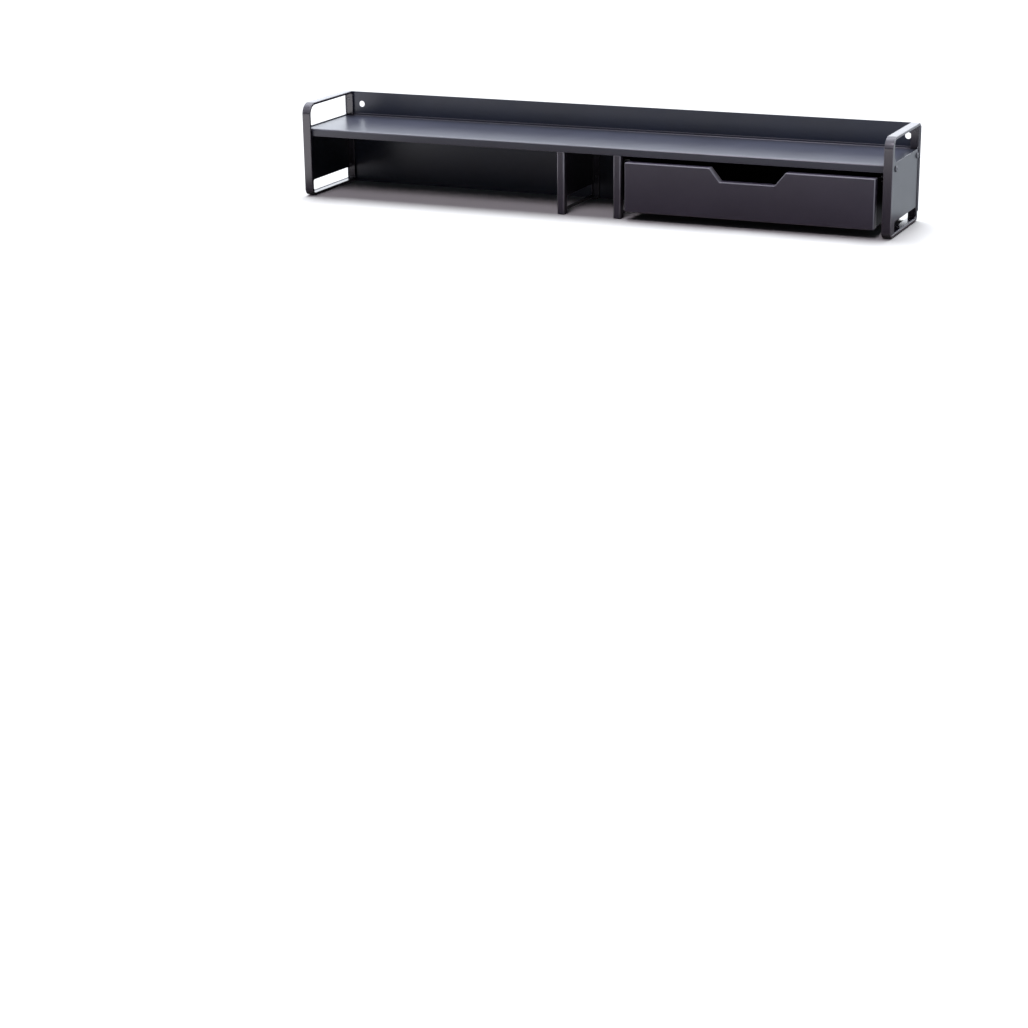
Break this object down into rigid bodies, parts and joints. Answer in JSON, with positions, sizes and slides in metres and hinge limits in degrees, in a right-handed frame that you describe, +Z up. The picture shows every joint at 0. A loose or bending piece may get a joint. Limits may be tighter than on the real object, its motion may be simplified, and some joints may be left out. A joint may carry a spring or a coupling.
{
  "type": "desk riser with drawer",
  "caption": "Long low steel desk shelf on looped end frames, with an open bay, a pigeonhole and a sliding drawer with a finger notch under it.",
  "frame": {"origin": "on the desk under the middle of the outer box, bottom of the pads at z 0", "axes": "+X along the length to the drawer's end, -Y towards the user and the way the drawer opens, +Z up"},
  "size_m": [0.8454, 0.1378, 0.13],
  "materials": {
    "frame_paint": "semi-matt charcoal powder coat, fine texture",
    "panel_paint": "semi-matt charcoal powder coat, fine texture",
    "shelf_paint": "semi-matt charcoal powder coat, fine texture",
    "back_paint": "semi-matt charcoal powder coat, fine texture",
    "divider_paint": "semi-matt charcoal powder coat, fine texture",
    "drawer_paint": "semi-matt charcoal powder coat, fine texture",
    "drawer_box_paint": "semi-matt charcoal powder coat",
    "rail_steel": "thin dark coat, worn where the drawer slides",
    "black_screws": "dark zinc, satin",
    "zinc": "zinc plated, satin",
    "rubber": "matt black"
  },
  "bodies": {
    "riser": {"left_end_frame": "frame_paint", "right_end_frame": "frame_paint", "left_end_panel": "panel_paint", "right_end_panel": "panel_paint", "shelf": "shelf_paint", "back_panel": "back_paint", "left_divider": "divider_paint", "right_divider": "divider_paint", "left_rail": "rail_steel", "right_rail": "rail_steel", "left_shelf_screws": "black_screws", "right_shelf_screws": "black_screws", "left_rivet_nuts": "zinc", "right_rivet_nuts": "zinc", "left_back_screws": "black_screws", "right_back_screws": "black_screws", "left_divider_screws": "black_screws", "right_divider_screws": "black_screws", "left_feet": "rubber", "right_feet": "rubber", "divider_feet": "rubber"},
    "drawer": {"drawer_front": "drawer_paint", "drawer_left_side": "drawer_box_paint", "drawer_right_side": "drawer_box_paint", "drawer_bottom": "drawer_box_paint", "drawer_back": "drawer_box_paint", "drawer_bumpers": "rubber"}
  },
  "joints": [
    {"name": "drawer_slide", "type": "slide", "parent": "riser", "child": "drawer", "axis": [0, -1, 0], "range_m": [0, 0.096]}
  ]
}
